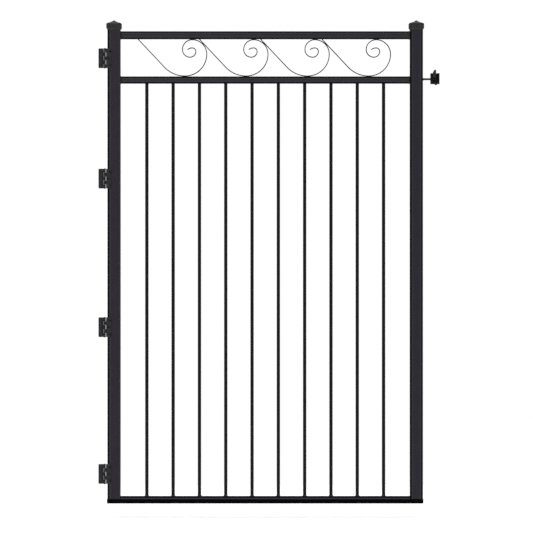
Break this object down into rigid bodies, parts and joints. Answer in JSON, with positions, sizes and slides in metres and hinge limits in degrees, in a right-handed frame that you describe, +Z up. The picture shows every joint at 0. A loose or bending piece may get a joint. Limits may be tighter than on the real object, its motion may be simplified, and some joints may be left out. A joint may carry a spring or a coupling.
{
  "type": "garden gate",
  "caption": "Tall welded steel garden gate with upright pickets below a band of running scrolls, hung on butt hinges, with a striker rod and a lift-up catch.",
  "frame": {"origin": "centre of the back face of the lowest hinge's post leaf, where the gate is fastened to its fence post", "axes": "+Z up along the hinge pins, +X from the hinge side to the latch side, +Y from the front to the back"},
  "size_m": [1.3178, 0.0623, 1.868],
  "materials": {
    "frame_coat": "satin charcoal powder coat",
    "infill_coat": "satin black powder coat",
    "cap_coat": "satin charcoal powder coat",
    "hardware_coat": "black e-coat",
    "fixings": "black e-coat",
    "guard_rubber": "matte black"
  },
  "bodies": {
    "post_hardware": {"hinge_1_post_leaf": "hardware_coat", "hinge_1_pin": "fixings", "hinge_2_post_leaf": "hardware_coat", "hinge_2_pin": "fixings", "hinge_3_post_leaf": "hardware_coat", "hinge_3_pin": "fixings", "hinge_4_post_leaf": "hardware_coat", "hinge_4_pin": "fixings", "catch_housing": "hardware_coat", "pawl_pin": "fixings"},
    "gate": {"hinge_stile": "frame_coat", "latch_stile": "frame_coat", "hinge_stile_cap": "cap_coat", "latch_stile_cap": "cap_coat", "top_rail": "frame_coat", "mid_rail": "frame_coat", "bottom_rail": "frame_coat", "bottom_guard": "guard_rubber", "picket_01": "infill_coat", "picket_02": "infill_coat", "picket_03": "infill_coat", "picket_04": "infill_coat", "picket_05": "infill_coat", "picket_06": "infill_coat", "picket_07": "infill_coat", "picket_08": "infill_coat", "picket_09": "infill_coat", "picket_10": "infill_coat", "scroll_1": "infill_coat", "scroll_2": "infill_coat", "scroll_3": "infill_coat", "scroll_4": "infill_coat", "hinge_1_gate_leaf": "hardware_coat", "hinge_1_screw_1": "fixings", "hinge_1_screw_2": "fixings", "hinge_1_screw_3": "fixings", "hinge_2_gate_leaf": "hardware_coat", "hinge_2_screw_1": "fixings", "hinge_2_screw_2": "fixings", "hinge_2_screw_3": "fixings", "hinge_3_gate_leaf": "hardware_coat", "hinge_3_screw_1": "fixings", "hinge_3_screw_2": "fixings", "hinge_3_screw_3": "fixings", "hinge_4_gate_leaf": "hardware_coat", "hinge_4_screw_1": "fixings", "hinge_4_screw_2": "fixings", "hinge_4_screw_3": "fixings", "striker_rod": "hardware_coat"},
    "pawl": {"catch_pawl": "hardware_coat"}
  },
  "joints": [
    {"name": "gate_swing", "type": "hinge", "parent": "post_hardware", "child": "gate", "pos_m": [0.01435, -0.00375, 0], "axis": [0, 0, -1], "range_deg": [0, 170]},
    {"name": "pawl_lift", "type": "hinge", "parent": "post_hardware", "child": "pawl", "pos_m": [1.28805, 0.0323, 1.5384], "axis": [-1, 0, 0], "range_deg": [-30, 0]}
  ]
}
